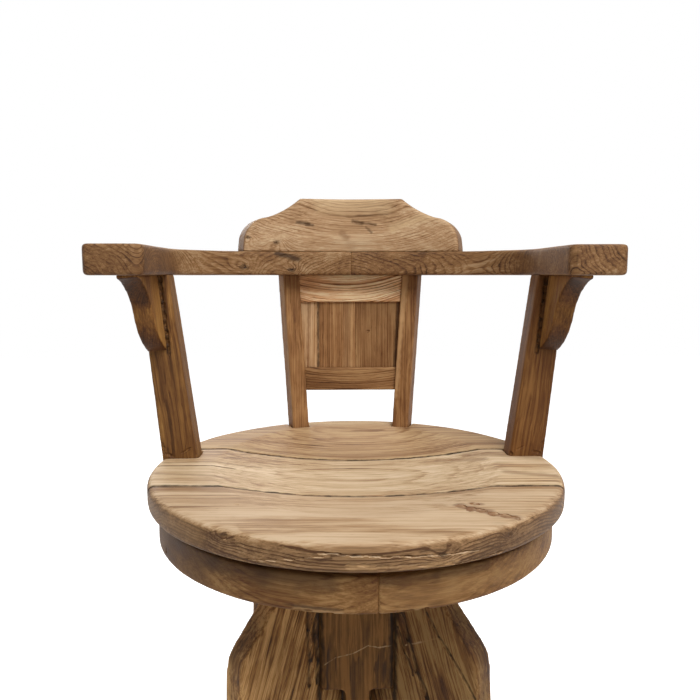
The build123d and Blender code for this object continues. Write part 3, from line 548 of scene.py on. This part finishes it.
def mottled(name, colours, roughness, metallic):
    """A smooth made surface, plated or moulded, with faint clouds in its colour and shine.

    It keeps the default IOR, as a metal does. That is polyethylene's too.
    """
    material, put = blank(name)
    place = put("TexCoord", out="Object")
    mottle = put("TexNoise", {"Vector": place, "Scale": 1 / (MOTTLE * MM), "Detail": 3.0})
    tint = put("ValToRGB", mottle, stops=tuple(zip((0.3, 0.7), colours)), out="Color")
    rough = put("MapRange", mottle, {"To Min": roughness - 0.06, "To Max": roughness + 0.08})
    shader = put("BsdfPrincipled", {"Base Color": tint, "Roughness": rough, "Metallic": metallic})
    put("OutputMaterial", {"Surface": shader})
    return material


# Each board's tones from pale early wood to dark late wood, then its knots' tone. Use has scrubbed the seat
# and the crest pale and nearly grey, hands have browned the bow, and the base has kept its dark oiled look.
# The hub's tones also hold painted shade, and the top rail's painted light
SEAT_FRONT = ("d0b594", "bd9d79", "997651", "523620", "382313")
SEAT_MIDDLE = ("e6ceaf", "d0b48e", "a98560", "563923", "40291a")
SEAT_REAR = ("c6a77e", "af8b64", "8a6543", "583a22", "3b2515")
CREST = ("d3b996", "b4906b", "8c6947", "563a24", "2e1c13")
BOW = ("a78865", "886440", "66452a", "392515", "20140d")
# The top rail's tones are painted pale: painted light that fills the bow's shadow on it
LIT_TOP_RAIL = ("ffe9bf", "e3af7f", "ae7b53", "68462e", "3f2a1c")
SAPWOOD = ("ceaa82", "b48b61", "8c613d", "56371e", "341f0c")
PANEL = ("bf9668", "9c7148", "754d2c", "472c17", "2b190d")
BACK = ("aa8459", "8a633e", "684324", "3f2613", "25160b")
BACK_POST = ("ad8255", "875e39", "623e26", "36210f", "1f1208")
LEFT_ARM_POST = ("ad854d", "875f33", "613f22", "36210d", "1f1207")
RIGHT_ARM_POST = ("8b6135", "6c4522", "4e2d15", "2a1606", "160a03")
CORBEL = ("ab7f46", "865b2f", "603c1f", "361f0c", "1d1005")
DRUM = ("a27b4e", "825c34", "613c1d", "3b220f", "231308")
# The hub's tones are darker than the base's: painted shade from the drum above it
SHADED_HUB = ("885f33", "65441e", "472c12", "251507", "160b02")
BASE = ("a17e50", "7c5730", "53341c", "26160a", "160c07")
LEFT_LEG = ("c99d66", "9d7142", "6b4724", "2f1c0e", "1b0f07")
PLAIN = ("b18a62", "9a7450", "7c5838", "553a22", "2c1b0f")  # hidden wood, which never weathered

# Colours of the marks: dirt in joints and cracks, old stains, wood that wear has laid bare, and painted shade
# and painted light on the drum and the legs
JOINT_DIRT = "20130a"
CRACK_DIRT = "140b06"
BLACK_BROWN = "2c1b0f"
DARK_BROWN = "3b2515"
UMBER = "4a2f1a"
RIM_GRIME = "5e4630"
RUST_BROWN = "6e452a"
WEATHERED = "7e5a3b"
DULL = "8b6845"
PALE = "a57f52"
SPLINTER = "ba9467"
TORN_EDGE = "bd9e78"
SAP_STREAK = "c79e70"
BLEACHED = "d4b78d"
FRESH_WOOD = "e0c9a0"

# Ways of the grain, as the degrees that turn X to it
UPRIGHT = (0, -90, 0)
PLANKS = (0, 0, -1.6)  # the seat planks run nearly straight across
ARC = 15  # a straight mark can follow the round drum this far, degrees


def seam(back):
    """The dirt along a plank joint of the seat. back is how far behind the middle it crosses, mm."""
    slope = math.radians(PLANKS[2])
    past = SEAT_RADIUS + 10
    ends = [(x, back / math.cos(slope) + x * math.tan(slope)) for x in (-past, past)]
    return (*ends, 3.6, JOINT_DIRT, 0.95)


def round_drum(start, finish, height, width, colour, strength):
    """Marks for a band that follows the drum's outside between two angles in degrees. The bands are painted
    shade and painted light.
    """
    count = math.ceil(abs(finish - start) / ARC)
    stops = [math.radians(start + (finish - start) * step / count) for step in range(count + 1)]
    points = [(DRUM_RADIUS * math.cos(turn), DRUM_RADIUS * math.sin(turn), height) for turn in stops]
    return [(first, second, width, colour, strength) for first, second in zip(points, points[1:])]


front_seam, rear_seam = seam(-86.5), seam(70)
finishes = {
    # the seat planks' sides are darkened with painted shade
    "seat_plank_front": dict(
        tones=SEAT_FRONT, grain=PLANKS, pith=(0, -190, 600), ring=3.6, wave=5, lines=0.7, bands=1.5,
        streak=1.35, patch=1.5, stretch=2.8, end=0.15, painted_side_shade=0.66,
        knots=[(-132, -213, 752, 3.5), (139.6, -208, 748, 3), (69.7, -240, 742, 3.5)],
        marks=[
            front_seam,
            ((100, -152, 757), (108, -160, 757), 9, RUST_BROWN, 0.65),
            ((112, -162, 757), (126, -171, 757), 9, RUST_BROWN, 0.65),
            ((116, -148, 757), (123, -150, 757), 6, RUST_BROWN, 0.6),
            ((130, -178, 757), (149, -188, 757), 8, RUST_BROWN, 0.65),
            ((-225, -95), (-90, -100), 7, DULL, 0.45),
            ((60, -100), (225, -103), 6, DULL, 0.35),
            ((150, -232, 757), (235, -100, 757), 12, WEATHERED, 0.35),
            ((110, -226, 742), (215, -132, 742), 16, RIM_GRIME, 0.4),
            ((-240, -95, 743), (-160, -195, 743), 16, PALE, 0.35),
            ((-100, -229, 731), (-30, -248, 744), 1.6, DARK_BROWN, 0.7),
            ((-30, -248, 746), (60, -243, 748), 1.5, DARK_BROWN, 0.75),
            ((60, -243, 748), (120, -219, 741), 1.5, DARK_BROWN, 0.6),
            ((-14, -250, 737), (84, -236, 733), 4.5, SPLINTER, 0.5),
        ],
    ),
    "seat_plank_middle": dict(
        tones=SEAT_MIDDLE, grain=PLANKS, pith=(30, -10, 500), ring=4.5, wave=4, lines=0.5, bands=1.15,
        streak=1.2, patch=1.2, stretch=2.8, end=0.2, painted_side_shade=0.52,
        marks=[
            front_seam,
            rear_seam,
            ((112, 44, 749), (165, 22, 755), 9, WEATHERED, 0.5),
            ((150, 50), (235, 20), 12, WEATHERED, 0.4),
            ((-240, 10), (-120, 16), 4, WEATHERED, 0.5),
            ((-240, -35), (-150, -48), 5, WEATHERED, 0.4),
            ((180, -40, 757), (240, -60, 757), 10, WEATHERED, 0.5),
            ((-246, -4), (-150, -4), 2.2, UMBER, 0.6),
        ],
    ),
    "seat_plank_rear": dict(
        tones=SEAT_REAR, grain=PLANKS, pith=(0, 210, 610), ring=3.6, wave=5, lines=0.8, bands=1.3,
        streak=1.3, patch=1.3, stretch=2.8, end=0.2, painted_side_shade=0.52,
        marks=[rear_seam, ((-180, 90), (120, 84), 8, WEATHERED, 0.35)],
    ),
    "crest": dict(
        tones=CREST, pith=(0, 330, 1170), ring=2.6, wave=4, lines=0.9, bands=0.6, streak=0.8, patch=0.7,
        knots=[(-148, 156, 1044.5, 3), (-109, 167.5, 1037.4, 4)],
        marks=[
            ((-79, 174, 1067), (-62, 177, 1065), 3.5, DARK_BROWN, 0.75),
            ((-66, 176, 1063), (-56, 178, 1063), 2.5, DARK_BROWN, 0.65),
            ((3, 181, 1069), (16, 181, 1066), 4, UMBER, 0.7),
            ((16, 181, 1067), (36, 180, 1064), 3, UMBER, 0.6),
            ((22, 180, 1060), (30, 180, 1053), 3, UMBER, 0.6),
            ((-13, 181, 1052), (-7, 181, 1046), 7, WEATHERED, 0.5),
            ((60, 176, 1060), (120, 166, 1078), 9, BLEACHED, 0.4),
            ((-45, 185, 1092), (50, 185, 1092), 17, BLEACHED, 0.4),
            ((-140, 160, 1034), (0, 182, 1034), 12, DULL, 0.3),
            ((0, 182, 1034), (140, 160, 1034), 12, DULL, 0.3),
        ],
    ),
    "arm_rail_right": dict(
        tones=BOW, grain=(0, -9.7, -33.7), pith=(-60, 178, 950), wave=5, lines=1.0, end=0.15,
        marks=[((239.5, -82, 1026), (239.5, -82, 990), 2, JOINT_DIRT, 0.85)],
    ),
    "arm_rail_left": dict(
        tones=BOW, grain=(0, 4.3, 33.7), pith=(60, 178, 950), wave=5, lines=1.0, end=0.15,
        knots=[(-154, 150.5, 1002, 5), (-86.7, 169.5, 998, 4), (-231, 113.4, 1000, 5)],
        marks=[((-108, 164.7, 1022), (-78, 171, 1014), 6, BLACK_BROWN, 0.8)],
    ),
    "arm_post_right": dict(
        tones=RIGHT_ARM_POST, grain=(0, -84, 0), pith=(150, 160, 757), wave=4,
        marks=[((235, 31.5, 893), (243, 31.5, 985), 4.2, JOINT_DIRT, 0.9)],
    ),
    "arm_post_left": dict(
        tones=LEFT_ARM_POST, grain=(0, -96, 0), pith=(-170, 170, 757), wave=4,
        marks=[((-235, 31.5, 893), (-243, 31.5, 985), 4.2, JOINT_DIRT, 0.9)],
    ),
    "back_post_right": dict(
        tones=BACK_POST, grain=UPRIGHT, pith=(10, 340, 0), wave=4, lines=0.4,
        marks=[
            ((82, 201, 992), (76, 202, 925), 8, SAP_STREAK, 0.8),
            ((76, 202, 925), (68, 204, 805), 7, SAP_STREAK, 0.75),
            ((68, 204, 870), (64, 204, 790), 1.6, DARK_BROWN, 0.6),
        ],
    ),
    "back_post_left": dict(tones=BACK_POST, grain=UPRIGHT, pith=(-10, 330, 0), wave=4, lines=0.4),
    # the corbels' undersides are darkened with painted shade
    "arm_corbel_right": dict(tones=CORBEL, grain=(0, -80, 0), pith=(170, 60, 950), wave=5, under=0.3),
    "arm_corbel_left": dict(tones=CORBEL, grain=(0, -100, 0), pith=(-180, 60, 950), wave=5, under=0.35),
    "back_top_rail": dict(tones=LIT_TOP_RAIL, pith=(-10, 225, 1060), ring=4.2, sag=-22, wave=5, lines=1.6),
    "back_bottom_rail": dict(tones=BACK, pith=(0, 215, 900), ring=4.5, sag=-14, wave=5, lines=1.4),
    "back_panel_left": dict(
        tones=SAPWOOD, grain=UPRIGHT, pith=(-200, 260, 0), ring=2.6, wave=3, lines=1.0,
        marks=[
            ((-50, 215, 842), (-50, 215, 957), 2.6, BLACK_BROWN, 0.85),
            ((-66, 215, 842), (-64, 215, 957), 3, RUST_BROWN, 0.5),
        ],
    ),
    "back_panel_middle": dict(
        tones=PANEL, grain=UPRIGHT, pith=(-120, 300, 0), ring=2.4, wave=2, lines=0.8,
        marks=[
            ((-49, 215, 842), (-49, 215, 957), 1.8, BLACK_BROWN, 0.8),
            ((-5, 215, 842), (-5, 215, 957), 8, WEATHERED, 0.55),
        ],
    ),
    "back_panel_right": dict(
        tones=BACK, grain=UPRIGHT, pith=(180, 320, 0), ring=2.4, wave=2, lines=0.8,
        marks=[
            ((27, 215, 905), (29, 215, 904), 1.6, FRESH_WOOD, 0.9),
            ((69, 215, 842), (74, 215, 957), 3, DARK_BROWN, 0.7),
        ],
    ),
    "hub": dict(
        tones=SHADED_HUB, grain=UPRIGHT, pith=(30, 160, 0), ring=4.0, wave=4, lines=1.0, bands=1.8, streak=1.4,
        marks=[
            ((-45, -68, 527), (-26, -68, 540), 1.1, TORN_EDGE, 0.85),
            ((-26, -68, 540), (-5, -68, 545), 1.1, TORN_EDGE, 0.85),
            ((-5, -68, 545), (13, -68, 554.5), 1.1, TORN_EDGE, 0.85),
            ((13, -68, 554.5), (25, -68, 552), 1.1, TORN_EDGE, 0.85),
            ((25, -68, 552), (45, -68, 555), 1.2, TORN_EDGE, 0.8),
            ((-43, -68, 684), (-43, -68, 505), 5, CRACK_DIRT, 0.9),
            ((43, -68, 684), (42, -68, 505), 7, CRACK_DIRT, 0.9),
        ],
    ),
}

drum_marks = {
    1: [
        ((33, -237, 687), (56, -232, 687), 6, PALE, 0.7),
        ((60, -231, 690), (160, -177, 694), 3, UMBER, 0.5),
        # painted shadow of the seat's rim along the drum's top, and below it painted light on the drum's
        # right front
        *round_drum(272, 300, 717, 7, DARK_BROWN, 0.5),
        *round_drum(276, 318, 702, 13, PALE, 0.3),
    ],
    2: [],
    3: [],
    4: [
        ((-62, -231, 687), (-24, -238, 686), 6, SPLINTER, 0.75),
        ((-75, -227, 691), (-20, -238, 690), 2, BLACK_BROWN, 0.7),
        ((-212, -115, 695), (-206, -120, 697), 9, BLACK_BROWN, 0.8),
        # painted shadow of the seat's rim along the drum's top at the left, and broad painted shade below it
        *round_drum(188, 262, 717, 16, DARK_BROWN, 0.6),
        *round_drum(184, 226, 700, 30, UMBER, 0.55),
    ],
}
# Each segment of the drum is sawn from another board
for step, turn in enumerate((18, 160, 20, -18)):
    finishes[f"drum_segment_{step + 1}"] = dict(
        tones=DRUM, grain=(0, 0, turn), pith=(0, 0, 590 - 15 * step), ring=4.0, wave=4, bands=1.3,
        patch=1.5, end=0.0, marks=drum_marks[step + 1],
    )

# A dark mark in every split of the legs, then stains, the drum's painted shadow on the tops of the front
# legs, and torn edges
leg_marks = {
    side: [
        (start, finish, 0.9 * width, CRACK_DIRT, 0.85)
        for points, width, depth in splits
        for start, finish in zip(points, points[1:])
    ]
    for side, splits in leg_splits.items()
}
leg_marks["front_right"] += [
    # painted shadow of the drum on the leg's top outer part
    ((114, -114, 620), (136, -136, 583), 17, BLACK_BROWN, 0.45),
    ((136, -136, 583), (140, -140, 534), 15, DARK_BROWN, 0.4),
    ((56, -77, 560), (72, -93, 573), 1.3, TORN_EDGE, 0.75),
    ((72, -93, 573), (86, -107, 585), 1.2, PALE, 0.6),
    ((44, -66, 600), (44, -66, 480), 6, CRACK_DIRT, 0.9),
]
leg_marks["front_left"] += [
    # painted shadow of the drum on the leg's top outer part
    ((-117, -117, 625), (-138, -138, 589), 20, BLACK_BROWN, 0.6),
    ((-138, -138, 589), (-142, -142, 541), 13, DARK_BROWN, 0.4),
    ((-51, -72, 527), (-44, -65, 523), 1.1, TORN_EDGE, 0.8),
    ((-44, -66, 600), (-44, -66, 480), 6, CRACK_DIRT, 0.9),
    ((-50, -71, 580), (-49, -70, 565), 6, BLACK_BROWN, 0.7),
]
LEG_SPLAY = 19  # degrees from upright
PITH_OUT = 250  # how far out the pith of each leg's log stands, mm
PITH_ROUND = 20  # and how far round from the leg, degrees
for side, turn in (("front_right", -45), ("back_right", 45), ("back_left", 135), ("front_left", 225)):
    aim = Matrix.Rotation(math.radians(turn), 3, "Z") @ Matrix.Rotation(math.radians(90 - LEG_SPLAY), 3, "Y")
    pith_turn = math.radians(turn + PITH_ROUND)
    # each leg's undersides are darkened with painted shade
    finishes[f"leg_{side}"] = dict(
        tones=LEFT_LEG if side == "front_left" else BASE,
        grain=[math.degrees(a) for a in aim.to_euler()],
        pith=(PITH_OUT * math.cos(pith_turn), PITH_OUT * math.sin(pith_turn), 500),
        ring=7.0, wave=7, lines=0.6, bands=1.1, streak=1.7, patch=1.9, under=0.3, marks=leg_marks[side],
    )
for step, side in enumerate(("front", "right", "back", "left")):
    finishes[f"foot_rail_{side}"] = dict(tones=BASE, grain=(0, 0, 90 * step), pith=(0, 0, 250 + 10 * step))
for place in ("front", "middle", "rear"):
    finishes[f"deck_board_{place}"] = dict(tones=PLAIN, pith=(0, 0, 600), wave=8)
for side in ("left", "right"):
    finishes[f"seat_batten_{side}"] = dict(tones=PLAIN, grain=(0, 0, 90), pith=(0, 0, 640))

dowel_wood = teak("plain_hardwood_dowel", PLAIN, wave=3)
# Plated sheet is dull and grey, plated screws are brighter, and moulded plastic is waxy and half matt
plate_steel = mottled("zinc_plated_pressed_steel", ("8f9296", "a6a9ac"), 0.38, 1.0)
fixing_steel = mottled("bright_zinc_plated_steel", ("a8abae", "bfc1c3"), 0.3, 1.0)
glide_plastic = mottled("moulded_brown_polyethylene", ("3c2f26", "4a3a2e"), 0.5, 0.0)


def dress(piece, material):
    """Gives a piece one material."""
    piece.data.materials.clear()
    piece.data.materials.append(material)


for name, piece in frame["nodes"].items():
    if name in finishes:
        finish = teak(f"weathered_sawn_teak_{name}", **finishes[name])
        dress(piece, finish)
        if f"worn_{name}" in bpy.data.objects:
            dress(bpy.data.objects[f"worn_{name}"], finish)
    elif name.endswith("dowels"):
        dress(piece, dowel_wood)
    elif name in ("swivel_upper_plate", "swivel_lower_plate"):
        dress(piece, plate_steel)
    elif name == "foot_glides":
        dress(piece, glide_plastic)
    else:
        dress(piece, fixing_steel)


# Floor, backdrop and lamps

WHITE = (1.0, 1.0, 1.0, 1.0)


def seen(put):
    """1 for a ray that the camera sees, straight, in a shine or through glass, and 0 for any other."""
    found = 0.0
    for ray in ("Is Camera Ray", "Is Glossy Ray", "Is Transmission Ray"):
        found = put("Math", put("LightPath", out=ray), found, operation="MAXIMUM")
    return found


# A pale matt floor that takes the object's shadow near it and glows whiter out to 0.9 m
floor_finish, put = blank("pale_matt_floor")
away = put("VectorMath", put("TexCoord", out="Object"), operation="LENGTH", out="Value")
glow = put("Math", put("MapRange", away, 0.3, 0.9, 0.55, 1.0), seen(put), operation="MULTIPLY")
matt = put("BsdfDiffuse", {"Color": linear("f2f1ef")})
bright = put("Emission", {"Color": WHITE, "Strength": glow})
put("OutputMaterial", {"Surface": put("AddShader", matt, bright)})

bpy.ops.object.select_all(action="DESELECT")
bpy.ops.mesh.primitive_plane_add(size=14, location=(0, 0, 0))
floor = bpy.context.object
floor.name = "floor"
dress(floor, floor_finish)

# A white backdrop that gives the object only a dim light
world = bpy.context.scene.world or bpy.data.worlds.new("World")
bpy.context.scene.world = world
world.use_nodes = True
world.node_tree.nodes.clear()
put = partial(node, world.node_tree)
strength = put("MapRange", seen(put), {"To Min": 0.13, "To Max": 1.0})
put("OutputWorld", {"Surface": put("Background", {"Color": WHITE, "Strength": strength})})

# Soft square lamps: place, height above the floor that they face, and width in metres, and power in watts
for name, place, aim, size, power in (
    ("lamp_overhead", (0.5, -1.2, 2.6), 0.8, 1.3, 51),
    ("lamp_front", (1.0, -2.9, 1.3), 0.8, 1.2, 9),
    ("lamp_behind", (-0.9, 2.8, 1.9), 0.7, 1.6, 34),
    ("lamp_left", (-2.9, 0.7, 1.3), 0.7, 1.4, 12),
    ("lamp_right", (2.9, 0.7, 1.3), 0.7, 1.4, 10),
):
    data = bpy.data.lights.new(name, "AREA")
    data.shape = "SQUARE"
    data.size = size
    data.energy = power
    lamp = bpy.data.objects.new(name, data)
    lamp.location = place
    lamp.rotation_euler = (Vector((0, 0, aim)) - Vector(place)).to_track_quat("-Z", "Y").to_euler()
    bpy.context.scene.collection.objects.link(lamp)


# Camera at the photograph's angle

FRAME = 700  # width of the frame, pixels
FOCAL = 657.13  # focal length, pixels
SENSOR = 36  # mm
CAMERA_PLACE = Vector((-6.7, -800.12, RIM + 234.21))  # mm, before its turn about the chair
CAMERA_TURN = math.radians(-1.6)
CAMERA_TILT = math.radians(6.55)  # down from level

camera_data = bpy.data.cameras.new("camera")
camera_data.sensor_width = SENSOR
camera_data.lens = FOCAL * SENSOR / FRAME
camera = bpy.data.objects.new("camera", camera_data)
camera.location = Matrix.Rotation(CAMERA_TURN, 3, "Z") @ CAMERA_PLACE * MM
camera.rotation_euler = Euler((math.radians(90) - CAMERA_TILT, 0, CAMERA_TURN))
bpy.context.scene.collection.objects.link(camera)
bpy.context.scene.camera = camera
bpy.context.scene.view_settings.view_transform = "Standard"
